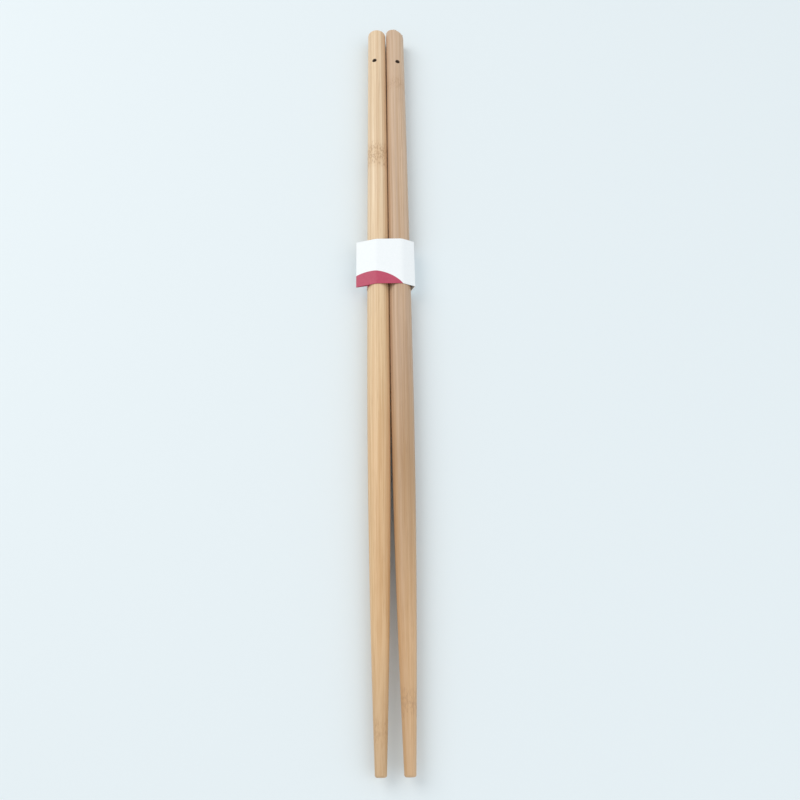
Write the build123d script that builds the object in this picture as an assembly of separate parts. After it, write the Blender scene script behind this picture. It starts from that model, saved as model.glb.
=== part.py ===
from build123d import *
import os
from math import radians, tan

# A pair of round bamboo cooking chopsticks lying side by side, their handle ends at +Y and
# their tips at -Y, held together by a loose flattened band of label paper.  Millimetres, +Z up.
# The origin is on the surface they lie on, under the middle of the whole object's box.

# ---- the two sticks, turned alike ----
stick_length = 330.0  # along the axis, handle end to tip
handle_diameter = 8.3  # at the handle end
belly_diameter = 8.9  # at the thickest place
belly_from_end = 180.0  # the thickest place, from the handle end
tip_diameter = 3.8  # at the tip, before its edge is rounded
handle_edge_round = 0.4
tip_edge_round = 0.7

# ---- what differs from stick to stick ----
hole_diameter = 2.0  # for a hanging string, straight through the axis
left_hole_from_end = 20.4
left_hole_roll = 15.0  # degrees that the hole leans outward from upright
left_end_slant = 0.0  # degrees that the handle end is cut off square
right_hole_from_end = 21.4
right_hole_roll = 15.0
right_end_slant = 20.0  # the right stick was sawn off at a slant, longer on its inner side

# ---- how the pair lies ----
stick_gap = 0.1  # least air between the sticks, where their sides come closest
lean = 0.05  # degrees that each stick turns outward, so that the tips lie a little apart

# ---- the paper band ----
band_width = 22.2  # along the sticks
band_from_end = 124.8  # its handle-side edge, from the handle end
paper_thickness = 0.2
paper_gap = 0.1  # air between the paper and the sticks
left_slack = 4.35  # from the left stick's side of the loop out to the crease, paper included
right_slack = 1.65  # the same on the right, where less paper is left over
crease_rise = 2.05  # of both creases above the sticks' axes
crease_radius = 0.05  # inside each crease
lap_length = 6.0  # glued overlap of the strip's two ends, under the pair
lap_step = 1.0  # run over which the outer end steps down below the inner end


def radius_at(from_end):
    """Radius of a stick at a distance from its handle end: a parabola falls away each side of the belly."""
    beyond = from_end - belly_from_end
    if beyond < 0:
        run, fall = belly_from_end, belly_diameter - handle_diameter
    else:
        run, fall = stick_length - belly_from_end, belly_diameter - tip_diameter
    return (belly_diameter - fall * (beyond / run) ** 2) / 2


def spread_at(from_end):
    """How much further apart the leaning axes are at a place than at the belly."""
    return 2 * tan(radians(lean)) * (from_end - belly_from_end)


def stations(start, end):
    """Places along a stick, from a start to an end, at which its fits are worked out."""
    steps = 300
    return [start + (end - start) * step / steps for step in range(steps + 1)]


# The sticks lie as close as their swelling and their lean let them.
along_stick = stations(0, stick_length)
axis_spacing = stick_gap + max(2 * radius_at(s) - spread_at(s) for s in along_stick)

# The band is cut for the thickest and widest stretch of the pair inside it.
along_band = stations(band_from_end, band_from_end + band_width)
band_radius = max(radius_at(s) for s in along_band) + paper_gap
band_spacing = axis_spacing + max(spread_at(s) for s in along_band)
axis_height = max(band_radius + 2 * paper_thickness, belly_diameter / 2)


def make_stick(hole_from_end, hole_roll, end_slant):
    """One stick on the Y axis, its belly at the origin and its handle end at +Y."""
    handle_y = belly_from_end
    tip_y = belly_from_end - stick_length
    handle_radius = handle_diameter / 2
    belly_radius = belly_diameter / 2
    tip_radius = tip_diameter / 2
    blank_y = handle_y + handle_diameter  # the turned blank runs on past the saw cut
    with BuildPart() as stick:
        with BuildSketch(Plane.XY):
            with BuildLine():
                Line((0, tip_y), (tip_radius, tip_y))
                Bezier((tip_radius, tip_y), (belly_radius, tip_y / 2), (belly_radius, 0))
                Bezier((belly_radius, 0), (belly_radius, handle_y / 2), (handle_radius, handle_y))
                Line((handle_radius, handle_y), (handle_radius, blank_y))
                Line((handle_radius, blank_y), (0, blank_y))
                Line((0, blank_y), (0, tip_y))
            make_face()
        revolve(axis=Axis.Y)
        saw_normal = Vector(0, 1, 0).rotate(Axis.Z, -end_slant)
        split(bisect_by=Plane(origin=(0, handle_y, 0), z_dir=saw_normal), keep=Keep.BOTTOM)
        fillet(stick.faces().sort_by(Axis.Y)[-1].edges(), handle_edge_round)
        fillet(stick.faces().sort_by(Axis.Y)[0].edges(), tip_edge_round)
        with Locations(Location((0, handle_y - hole_from_end, 0), (0, hole_roll, 0))):
            Cylinder(hole_diameter / 2, 2 * belly_diameter, mode=Mode.SUBTRACT)
    return stick.part


def band_outline(extra):
    """The band's closed outline, grown by extra: it hugs both sticks and runs out to its two creases."""
    side_x = band_spacing / 2 + band_radius
    crease_inset = paper_thickness + crease_radius
    left_crease_x = -(side_x + left_slack - crease_inset)
    right_crease_x = side_x + right_slack - crease_inset
    crease_z = axis_height + crease_rise
    with BuildSketch() as outline:
        with Locations((-band_spacing / 2, axis_height), (band_spacing / 2, axis_height)):
            Circle(band_radius + extra)
        with Locations((left_crease_x, crease_z), (right_crease_x, crease_z)):
            Circle(crease_radius + extra)
        make_hull()
    return outline.sketch


def make_band():
    """The paper band round the pair, placed along Y like the sticks."""
    underside = axis_height - band_radius - paper_thickness
    glue_line = underside + paper_thickness / 2  # inside the strip's inner end, so that the two join
    lap_half = lap_length / 2
    lap = Polygon(
        (-lap_half - lap_step, glue_line),
        (-lap_half - lap_step, underside),
        (-lap_half, underside - paper_thickness),
        (lap_half, underside - paper_thickness),
        (lap_half, glue_line),
        align=None,
    )
    section = band_outline(paper_thickness) + lap - band_outline(0)
    band_start = Location((0, belly_from_end - band_from_end, 0))
    return band_start * extrude(Plane.XZ * section, amount=band_width)


half_spacing = axis_spacing / 2
left_stick = make_stick(left_hole_from_end, -left_hole_roll, left_end_slant)
right_stick = make_stick(right_hole_from_end, right_hole_roll, right_end_slant)
pieces = {
    "chopstick_left": Location((-half_spacing, 0, axis_height), (0, 0, -lean)) * left_stick,
    "chopstick_right": Location((half_spacing, 0, axis_height), (0, 0, lean)) * right_stick,
    "label_band": make_band(),
}

whole = Compound(list(pieces.values())).bounding_box()
to_origin = Location((-whole.center().X, -whole.center().Y, -whole.min.Z))

os.makedirs("parts", exist_ok=True)
for name, piece in pieces.items():
    export_step(to_origin * piece, f"parts/{name}.step")
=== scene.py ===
import math
import bpy
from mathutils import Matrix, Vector


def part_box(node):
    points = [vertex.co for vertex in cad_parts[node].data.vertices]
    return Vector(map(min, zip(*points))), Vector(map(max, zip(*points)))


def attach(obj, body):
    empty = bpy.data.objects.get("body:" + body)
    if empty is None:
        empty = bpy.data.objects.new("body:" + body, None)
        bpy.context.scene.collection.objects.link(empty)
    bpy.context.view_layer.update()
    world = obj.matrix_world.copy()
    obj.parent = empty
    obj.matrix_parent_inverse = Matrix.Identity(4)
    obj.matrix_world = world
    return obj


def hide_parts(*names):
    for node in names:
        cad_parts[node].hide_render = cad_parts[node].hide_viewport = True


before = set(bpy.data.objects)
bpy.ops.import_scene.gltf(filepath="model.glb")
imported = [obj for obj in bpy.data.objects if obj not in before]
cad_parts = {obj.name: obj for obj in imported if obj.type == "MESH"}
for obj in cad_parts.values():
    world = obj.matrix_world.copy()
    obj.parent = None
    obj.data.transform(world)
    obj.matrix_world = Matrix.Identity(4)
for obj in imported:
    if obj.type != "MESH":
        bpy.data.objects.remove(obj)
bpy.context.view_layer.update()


# ---- camera ----
# The pair is looked down on from beyond its tips, steeply at the tips and at about 40 degrees at
# the handle ends, so that the sticks narrow with distance.
MM = 0.001
camera_data = bpy.data.cameras.new("camera")
camera_data.lens = 38.6
camera_data.sensor_width = 36.0
camera = bpy.data.objects.new("camera", camera_data)
camera.location = (2.45 * MM, -180.6 * MM, 298.3 * MM)
camera.rotation_euler = (math.radians(26.67), 0, math.radians(-0.975))
bpy.context.scene.collection.objects.link(camera)
bpy.context.scene.camera = camera


# ---- bamboo chopsticks ----
# Each stick is turned from one split of steamed bamboo, sanded and lightly waxed. It is thickest a
# little past the middle, its handle end is sawn off, its tip is rounded over, and a small hole for
# a hanging string is drilled across near the handle end.
stick_length = 330 * MM
belly_from_end = 180 * MM
handle_radius = 4.15 * MM
belly_radius = 4.45 * MM
tip_radius = 1.9 * MM
handle_edge_round = 0.4 * MM
tip_edge_round = 0.7 * MM
handle_edge_steps = 5
tip_edge_steps = 6
same_direction = 0.999
hole_radius = 1.0 * MM
hole_sides = 48
# The painted shade colour for the inside of the string hole.
hole_shadow = (0.10, 0.07, 0.055, 1)
hole_tilt = math.radians(15)
lean = math.radians(0.05)
side_clearance = 0.02 * MM
saw_spare = 4 * MM
stick_sides = 96
ring_spacing = 1.5 * MM
hole_ring_spacing = 0.2 * MM
hole_rings = 10


def stick_radius(from_end):
    """The radius swells along one parabola to the belly, and thins along another to the tip."""
    beyond = from_end - belly_from_end
    if beyond < 0:
        return belly_radius - (belly_radius - handle_radius) * (beyond / belly_from_end) ** 2
    taper_length = stick_length - belly_from_end
    return belly_radius - (belly_radius - tip_radius) * (beyond / taper_length) ** 2


def ring_places(hole_from_end):
    """Where the rings lie, from the tip to past the saw cut, closer together about the hole."""
    ring_count = int(stick_length / ring_spacing) + 1
    even = [stick_length - ring_spacing * ring for ring in range(ring_count)]
    near_hole = [
        hole_from_end + hole_ring_spacing * ring for ring in range(-hole_rings, hole_rings + 1)
    ]
    return sorted(set(even + near_hole + [0, -saw_spare]), reverse=True)


def deselect_all():
    if bpy.context.object and bpy.context.object.mode != "OBJECT":
        bpy.ops.object.mode_set(mode="OBJECT")
    bpy.ops.object.select_all(action="DESELECT")


def round_end(piece, direction, radius, segments):
    """Rounds the rim of the flat end that faces the direction, in edit mode."""
    bpy.ops.mesh.select_mode(type="FACE")
    bpy.ops.mesh.select_all(action="DESELECT")
    bpy.ops.object.mode_set(mode="OBJECT")
    for face in piece.data.polygons:
        face.select = face.normal.dot(direction) > same_direction
    bpy.ops.object.mode_set(mode="EDIT")
    bpy.ops.mesh.region_to_loop()
    bpy.ops.mesh.bevel(offset=radius, segments=segments, affect="EDGES")


def apply_modifier(piece, kind, **settings):
    modifier = piece.modifiers.new(kind.lower(), kind)
    for name, value in settings.items():
        setattr(modifier, name, value)
    bpy.context.view_layer.objects.active = piece
    bpy.ops.object.modifier_apply(modifier=modifier.name)


def smooth_round_faces(piece, angle):
    deselect_all()
    piece.select_set(True)
    bpy.context.view_layer.objects.active = piece
    bpy.ops.object.shade_smooth_by_angle(angle=angle)


def turn_stick(name, node, side, hole_from_end, end_slant):
    """A stick is drawn out ring by ring from its tip, then sawn, rounded over and drilled."""
    low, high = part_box(node)
    tip_y = low.y
    handle_y = tip_y + stick_length
    belly_y = handle_y - belly_from_end
    axis_z = (low.z + high.z) / 2
    outer_x = high.x if side > 0 else low.x
    belly_x = outer_x - side * (belly_radius + side_clearance)
    slope = side * math.tan(lean)
    places = ring_places(hole_from_end)

    deselect_all()
    bpy.ops.mesh.primitive_circle_add(
        vertices=stick_sides,
        radius=stick_radius(places[0]),
        fill_type="NGON",
        location=(belly_x + slope * (belly_y - tip_y), tip_y, axis_z),
        rotation=(math.radians(90), 0, 0),
    )
    stick = bpy.context.object
    stick.name = name
    stick.data.name = name
    bpy.ops.object.transform_apply(location=True, rotation=True, scale=True)
    bpy.ops.object.mode_set(mode="EDIT")
    bpy.ops.mesh.select_all(action="SELECT")
    for before, after in zip(places, places[1:]):
        step = before - after
        y = handle_y - after
        grow = stick_radius(max(after, 0)) / stick_radius(max(before, 0))
        centre = (belly_x - slope * (y - belly_y), y, axis_z)
        bpy.ops.mesh.extrude_region_move(TRANSFORM_OT_translate={"value": (-slope * step, step, 0)})
        bpy.ops.transform.resize(value=(grow, 1, grow), center_override=centre)
    bpy.ops.mesh.select_all(action="SELECT")
    bpy.ops.mesh.normals_make_consistent(inside=False)

    saw_normal = Vector((math.sin(end_slant), math.cos(end_slant), 0))
    axis_at_end = Vector((belly_x - slope * belly_from_end, handle_y, axis_z))
    bpy.ops.mesh.bisect(
        plane_co=axis_at_end, plane_no=saw_normal, use_fill=True, clear_outer=True, clear_inner=False
    )
    round_end(stick, saw_normal, handle_edge_round, handle_edge_steps)
    round_end(stick, Vector((0, -1, 0)), tip_edge_round, tip_edge_steps)

    hole_y = handle_y - hole_from_end
    hole_x = belly_x - slope * (hole_y - belly_y)
    deselect_all()
    bpy.ops.mesh.primitive_cylinder_add(
        vertices=hole_sides,
        radius=hole_radius,
        depth=4 * belly_radius,
        location=(hole_x, hole_y, axis_z),
        rotation=(0, side * hole_tilt, 0),
    )
    drill = bpy.context.object
    apply_modifier(stick, "BOOLEAN", object=drill, operation="DIFFERENCE", solver="EXACT")
    bpy.data.objects.remove(drill)
    smooth_round_faces(stick, math.radians(30))
    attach(stick, "root")
    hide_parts(node)
    return stick, (belly_x, belly_y, axis_z), (hole_x, hole_y)


class Wire:
    """A shader socket that works in sums: each operator adds its Math node to the material."""

    def __init__(self, tree, socket=None):
        self.tree = tree
        self.socket = socket

    def node(self, kind, settings=None, inputs=None, output=0):
        """Adds a node: its settings are set first, then its inputs by name or number."""
        made = self.tree.nodes.new(kind)
        for name, value in (settings or {}).items():
            if name == "stops":
                stops = made.color_ramp.elements
                stops[0].position, stops[0].color = value[0]
                stops[1].position, stops[1].color = value[-1]
                for place, colour in value[1:-1]:
                    stops.new(place).color = colour
            else:
                setattr(made, name, value)
        for name, value in (inputs or {}).items():
            if isinstance(value, Wire):
                self.tree.links.new(value.socket, made.inputs[name])
            else:
                made.inputs[name].default_value = value
        return Wire(self.tree, made.outputs[output])

    def math(self, operation, *values):
        return self.node("ShaderNodeMath", {"operation": operation}, dict(enumerate(values)))

    def __add__(self, other):
        return self.math("ADD", self, other)

    __radd__ = __add__

    def __sub__(self, other):
        return self.math("SUBTRACT", self, other)

    def __rsub__(self, other):
        return self.math("SUBTRACT", other, self)

    def __mul__(self, other):
        return self.math("MULTIPLY", self, other)

    __rmul__ = __mul__

    def __truediv__(self, other):
        return self.math("DIVIDE", self, other)

    def __pow__(self, other):
        return self.math("POWER", self, other)

    def __abs__(self):
        return self.math("ABSOLUTE", self)

    def xyz(self):
        """The three parts of a vector, each on its own wire."""
        split = self.node("ShaderNodeSeparateXYZ", None, {0: self})
        return [Wire(self.tree, output) for output in split.socket.node.outputs]

    def ramp(self, low, high):
        """0 below low, 1 above high, smooth between."""
        settings = {"interpolation_type": "SMOOTHSTEP"}
        inputs = {"Value": self, "From Min": low, "From Max": high}
        return self.node("ShaderNodeMapRange", settings, inputs)

    def noise(self, x, y, z, detail=2.0, roughness=0.5):
        """Noise at a place worked out by the caller, about one blob a unit."""
        place = self.node("ShaderNodeCombineXYZ", None, {0: x, 1: y, 2: z})
        inputs = {"Vector": place, "Scale": 1.0, "Detail": detail, "Roughness": roughness}
        return self.node("ShaderNodeTexNoise", None, inputs)

    def mix(self, factor, colour_a, colour_b, blend="MIX"):
        settings = {"data_type": "RGBA", "blend_type": blend}
        return self.node("ShaderNodeMix", settings, {0: factor, 6: colour_a, 7: colour_b}, 2)

    def feed(self, shader, socket):
        self.tree.links.new(self.socket, shader.inputs[socket])


def new_material(name, **constants):
    """A material with its shader's constant sockets set, the shader and a wire to start from."""
    material = bpy.data.materials.new(name)
    material.use_nodes = True
    shader = material.node_tree.nodes["Principled BSDF"]
    for socket, value in constants.items():
        shader.inputs[socket.replace("_", " ")].default_value = value
    return material, shader, Wire(material.node_tree)


def bamboo_material(name, seed, axis, side, hole, pale, mid, deep, fibre, scar, scars, tones):
    """Straight bamboo fibres in long light and dark streaks, broken by the scars of the joints.

    All lengths inside are in millimetres. Patterns are fine across the stick and very long along
    it, so that they show as streaks on its side and as dots on its sawn end.
    """
    material, shader, start = new_material(name, IOR=1.45)
    across_x, along_y, up_z = start.node("ShaderNodeTexCoord", output="Object").xyz()
    x = (across_x - axis[0]) / MM
    y = along_y / MM
    z = (up_z - axis[2]) / MM
    length = stick_length / MM
    from_end = (axis[1] + belly_from_end) / MM - y

    wander = start.noise(x * 0.12 + seed, y * 0.02, z * 0.12) * 0.9
    grain_x = x + wander
    grain_z = z + wander
    broad = start.noise(grain_x * 0.42 + seed, y * 0.003, grain_z * 0.42, 2.0).ramp(0.34, 0.68)
    streaks = start.noise(grain_x * 1.6, y * 0.005 + seed, grain_z * 1.6, 3.0, 0.6).ramp(0.38, 0.66)
    fibres = start.noise(grain_x * 5.0, y * 0.02, grain_z * 5.0 + seed, 2.0, 0.6).ramp(0.5, 0.72)
    flecks = start.noise(grain_x * 4.0, y * 0.16 + seed, grain_z * 4.0, 1.0).ramp(0.6, 0.76)
    towards_tip = from_end.ramp(157.0, length)

    colour = start.mix(broad, pale, mid)
    colour = start.mix(streaks * 0.48, colour, deep)
    colour = start.mix(fibres * 0.42, colour, fibre)
    colour = start.mix(flecks * 0.22, colour, fibre)
    colour = start.mix(towards_tip * 0.55, colour, deep)
    stops = [(place / length, (*tone, 1)) for place, tone in tones]
    tone = start.node("ShaderNodeValToRGB", {"stops": stops}, {0: from_end / length})
    colour = start.mix(1.0, colour, tone, "MULTIPLY")

    scarred = 0.0
    ringed = 0.0
    for scar_from_end, half_width, strength in scars:
        ragged = start.noise(x * 0.9 + seed, y * 0.15, z * 0.9, 2.0, 0.6) * 7.0 - 3.5
        reach = abs(from_end - ragged - scar_from_end)
        scarred = scarred + (1 - reach.ramp(half_width * 0.35, half_width)) * strength
        wave = start.noise(x * 0.5, seed, z * 0.5, 1.0) * 2.4 - 1.2
        ring_reach = abs(from_end - wave - scar_from_end) / 0.7
        ringed = ringed + (1 - ring_reach.ramp(0.2, 1.0)) * strength
    dashes = start.noise(x * 2.1 + seed, y * 0.55, z * 2.1, 2.0, 0.65).ramp(0.47, 0.62)
    colour = start.mix(scarred * 0.25, colour, deep)
    colour = start.mix(scarred * dashes * 0.75, colour, scar)
    colour = start.mix(ringed * 0.3, colour, scar)

    # Painted shade: the walls of the string hole and a thin rim round its mouth are darkened towards
    # hole_shadow.
    hole_side = (x - (hole[0] - axis[0]) / MM) * math.cos(hole_tilt)
    hole_side = hole_side - z * (side * math.sin(hole_tilt))
    from_hole = (hole_side ** 2.0 + (y - hole[1] / MM) ** 2.0) ** 0.5
    painted_hole_shade = 1 - from_hole.ramp(1.02, 1.16)
    colour = start.mix(painted_hole_shade * 0.9, colour, hole_shadow)
    colour.feed(shader, "Base Color")
    (0.40 + fibres * 0.12 + scarred * 0.08).feed(shader, "Roughness")
    height = 1 - fibres * 0.5 - streaks * 0.2 - ringed * 0.5
    relief = {"Strength": 0.35, "Distance": 0.06 * MM, "Height": height}
    start.node("ShaderNodeBump", None, relief).feed(shader, "Normal")
    return material


left_stick, left_axis, left_hole = turn_stick(
    "left_bamboo_stick", "chopstick_left", side=-1, hole_from_end=20.4 * MM, end_slant=0.0
)
left_bamboo = bamboo_material(
    "bamboo_left_light",
    3.1,
    left_axis,
    -1,
    left_hole,
    pale=(0.92, 0.725, 0.50, 1),
    mid=(0.79, 0.575, 0.375, 1),
    deep=(0.58, 0.35, 0.16, 1),
    fibre=(0.50, 0.325, 0.185, 1),
    scar=(0.40, 0.22, 0.11, 1),
    scars=[(78, 9.0, 0.8), (317, 6.0, 0.45)],
    tones=[
        (0, (1.0, 1.0, 1.0)),
        (95, (1.0, 1.0, 1.0)),
        (165, (0.95, 0.89, 0.79)),
        (225, (0.97, 0.88, 0.76)),
        (290, (0.98, 0.90, 0.79)),
        (325, (0.88, 0.855, 0.83)),
    ],
)
left_stick.data.materials.clear()
left_stick.data.materials.append(left_bamboo)

right_stick, right_axis, right_hole = turn_stick(
    "right_bamboo_stick",
    "chopstick_right",
    side=1,
    hole_from_end=21.4 * MM,
    end_slant=math.radians(20),
)
# The right stick's darker colours and tones are partly its own darker bamboo and partly painted shade,
# for lying on the side away from the light on the left.
right_bamboo = bamboo_material(
    "bamboo_right_dark_and_painted_shade",
    8.4,
    right_axis,
    1,
    right_hole,
    pale=(0.84, 0.60, 0.405, 1),
    mid=(0.69, 0.485, 0.33, 1),
    deep=(0.55, 0.32, 0.15, 1),
    fibre=(0.46, 0.29, 0.18, 1),
    scar=(0.34, 0.19, 0.11, 1),
    scars=[(35, 5.0, 0.35), (308, 6.0, 0.45)],
    tones=[
        (0, (0.84, 0.855, 0.885)),
        (100, (0.82, 0.82, 0.83)),
        (180, (0.745, 0.715, 0.70)),
        (225, (0.73, 0.675, 0.59)),
        (290, (1.0, 0.97, 0.88)),
        (325, (1.0, 1.0, 0.96)),
    ],
)
right_stick.data.materials.clear()
right_stick.data.materials.append(right_bamboo)


# ---- paper band ----
# One strip of smooth coated paper, wound once round both sticks, pressed into a crease at each
# side, and glued to itself in a short lap underneath. A crimson part-circle is printed at its
# lower left corner, and the rest is bare.
paper_thickness = 0.2 * MM
lap_clearance = 0.004 * MM
crease_inside = 0.05 * MM
crease_rise = 2.05 * MM
# On the left, the lower layer is pressed up close under the upper one by this turn of the stick.
pressed_up = math.radians(25)
lap_length = 6 * MM
lap_step = 1 * MM
stick_steps = 20
crown_steps = 16
crease_steps = 10
# The print's circle on the unrolled strip, in millimetres from the left crease and the lower edge.
disc_along, disc_up, disc_radius = 6.4, -10.4, 16.9
disc_edge = 0.05
paper_white = (0.90, 0.925, 0.93, 1)
paper_bright = (0.93, 0.95, 0.955, 1)
print_crimson = (0.49, 0.055, 0.115, 1)
print_bright = (0.53, 0.07, 0.13, 1)
band_low, band_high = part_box("label_band")
pair_x = (left_axis[0] + right_axis[0]) / 2
band_middle_y = (band_low.y + band_high.y) / 2
band_spread = (right_axis[0] - left_axis[0]) + 2 * math.tan(lean) * (left_axis[1] - band_low.y)
outer_radius = (band_high.z - band_low.z - paper_thickness) / 2
axis_z = band_high.z - outer_radius
crease_outside = crease_inside + paper_thickness
crease_z = axis_z + crease_rise


def arc(centre_x, centre_z, radius, start, end, steps):
    """Points on an arc of the strip's outer face, anticlockwise as seen from the tips."""
    turns = [start + (end - start) * step / steps for step in range(steps + 1)]
    return [(centre_x + radius * math.cos(turn), centre_z + radius * math.sin(turn)) for turn in turns]


def to_crease(centre_x, crease_x):
    """The direction of a crease from its stick, and the angle from it at which the paper leaves."""
    reach = math.hypot(crease_x - centre_x, crease_z - axis_z)
    towards = math.atan2(crease_z - axis_z, crease_x - centre_x)
    return towards, math.acos((outer_radius - crease_outside) / reach)


def strip_path():
    """The strip from its inner end: right stick, right crease, top, left crease, left stick, lap."""
    underside = band_low.z + paper_thickness
    right_x = pair_x + band_spread / 2
    left_x = pair_x - band_spread / 2
    right_crease_x = band_high.x - crease_outside
    left_crease_x = band_low.x + crease_outside
    start_x = pair_x - lap_length / 2
    path = [(start_x, underside)]
    towards, half = to_crease(right_x, right_crease_x)
    below, above = towards - half, towards + half
    path += arc(right_x, axis_z, outer_radius, -math.pi / 2, below, stick_steps)
    path += arc(right_crease_x, crease_z, crease_outside, below, above, crease_steps)
    path += arc(right_x, axis_z, outer_radius, above, math.pi / 2, crown_steps)

    towards, half = to_crease(left_x, left_crease_x)
    above, tucked = towards - half, towards + math.pi / 2 + pressed_up
    path += arc(left_x, axis_z, outer_radius, math.pi / 2, above, crown_steps)
    left_crease = len(path) + crease_steps // 2
    path += arc(left_crease_x, crease_z, crease_outside, above, tucked, crease_steps)
    path += arc(left_x, axis_z, outer_radius, towards - pressed_up, math.pi * 1.5, stick_steps)
    path.append((start_x - lap_step, underside))
    path.append((start_x, band_low.z))
    path.append((start_x + lap_length, band_low.z))

    lengths = [0.0]
    for before, after in zip(path, path[1:]):
        lengths.append(lengths[-1] + math.dist(before, after))
    return path, [lengths[left_crease] - length for length in lengths]


def wind_band():
    """One end edge of a flat piece of paper is led along the path, and its map is the flat strip."""
    path, from_crease = strip_path()
    (first_x, first_z), (second_x, _) = path[:2]
    deselect_all()
    bpy.ops.mesh.primitive_plane_add(
        size=1, location=((first_x + second_x) / 2, band_middle_y, first_z)
    )
    band = bpy.context.object
    band.name = "paper_band"
    band.data.name = "paper_band"
    band.scale = (second_x - first_x, band_high.y - band_low.y, 1)
    bpy.ops.object.transform_apply(location=True, rotation=True, scale=True)
    bpy.ops.object.mode_set(mode="EDIT")
    bpy.ops.mesh.select_mode(type="EDGE")
    bpy.ops.mesh.select_all(action="DESELECT")
    bpy.ops.object.mode_set(mode="OBJECT")
    for edge in band.data.edges:
        edge.select = all(band.data.vertices[end].co.x > second_x - 1e-6 for end in edge.vertices)
    bpy.ops.object.mode_set(mode="EDIT")
    for before, after in zip(path[1:], path[2:]):
        move = (after[0] - before[0], 0, after[1] - before[1])
        bpy.ops.mesh.extrude_edges_move(TRANSFORM_OT_translate={"value": move})
    bpy.ops.mesh.select_all(action="SELECT")
    bpy.ops.mesh.remove_doubles(threshold=1e-6)
    bpy.ops.mesh.normals_make_consistent(inside=False)
    bpy.ops.object.mode_set(mode="OBJECT")
    top_face = max(band.data.polygons, key=lambda face: face.center.z)
    if top_face.normal.z < 0:
        band.data.flip_normals()

    strip = band.data.uv_layers.new(name="strip")
    for loop in band.data.loops:
        co = band.data.vertices[loop.vertex_index].co
        nearest = min(range(len(path)), key=lambda place: math.dist(path[place], (co.x, co.z)))
        strip.data[loop.index].uv = (from_crease[nearest] / MM, (co.y - band_low.y) / MM)
    return band


def paper_material(name, printed):
    """Smooth white paper with faint fibre clouds, and on its printed face a crimson part-circle."""
    material, shader, start = new_material(name, Roughness=0.5)
    x, y, z = [part / MM for part in start.node("ShaderNodeTexCoord", output="Object").xyz()]
    cloud = start.noise(x * 1.5, y * 1.5, z * 1.5, 4.0, 0.6)
    tooth = start.noise(x * 9.0, y * 9.0, z * 9.0, 2.0, 0.6)
    clouded = cloud.ramp(0.3, 0.7)
    colour = start.mix(clouded, paper_white, paper_bright)
    if printed:
        crimson = start.mix(clouded, print_crimson, print_bright)
        along, up, _ = start.node("ShaderNodeUVMap", {"uv_map": "strip"}).xyz()
        away = ((along - disc_along) ** 2.0 + (up - disc_up) ** 2.0) ** 0.5
        inside = 1 - away.ramp(disc_radius - disc_edge, disc_radius + disc_edge)
        colour = start.mix(inside, colour, crimson)
    colour.feed(shader, "Base Color")
    relief = {"Strength": 0.15, "Distance": 0.02 * MM, "Height": cloud + tooth * 0.4}
    start.node("ShaderNodeBump", None, relief).feed(shader, "Normal")
    return material


band = wind_band()
apply_modifier(
    band,
    "SOLIDIFY",
    thickness=paper_thickness - lap_clearance,
    offset=-1.0,
    material_offset=1,
    material_offset_rim=1,
)
smooth_round_faces(band, math.radians(25))
band.data.materials.clear()
band.data.materials.append(paper_material("printed_paper", True))
band.data.materials.append(paper_material("bare_paper", False))
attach(band, "root")
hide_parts("label_band")


# ---- floor and light ----
# A plain pale floor, one broad soft light from the upper left, a weaker one opposite, and an even
# pale sky, so that the shadows are faint and fall to the right.
bpy.context.scene.view_settings.view_transform = "Standard"
deselect_all()
bpy.ops.mesh.primitive_plane_add(size=6, location=(0, 0, 0))
floor = bpy.context.object
floor.name = "floor"
floor_material = new_material("floor", Roughness=0.6, Base_Color=(0.80, 0.86, 0.88, 1))[0]
floor.data.materials.append(floor_material)


def soft_light(name, place, size, power, colour):
    """A round soft light, turned to shine on the middle of the pair."""
    light_data = bpy.data.lights.new(name, "AREA")
    light_data.shape = "DISK"
    light_data.size = size
    light_data.energy = power
    light_data.color = colour
    light = bpy.data.objects.new(name, light_data)
    light.location = place
    light.rotation_euler = (-Vector(place)).to_track_quat("-Z", "Y").to_euler()
    bpy.context.scene.collection.objects.link(light)


soft_light("window_light", (-0.9, 0.6, 1.1), size=1.3, power=9.0, colour=(1.0, 0.985, 0.96))
soft_light("fill_light", (0.9, -0.5, 1.2), size=1.6, power=6.0, colour=(0.94, 0.97, 1.0))
sky = bpy.data.worlds.new("pale_sky")
sky.use_nodes = True
sky.node_tree.nodes["Background"].inputs["Color"].default_value = (0.93, 0.97, 1.0, 1)
sky.node_tree.nodes["Background"].inputs["Strength"].default_value = 0.67
bpy.context.scene.world = sky
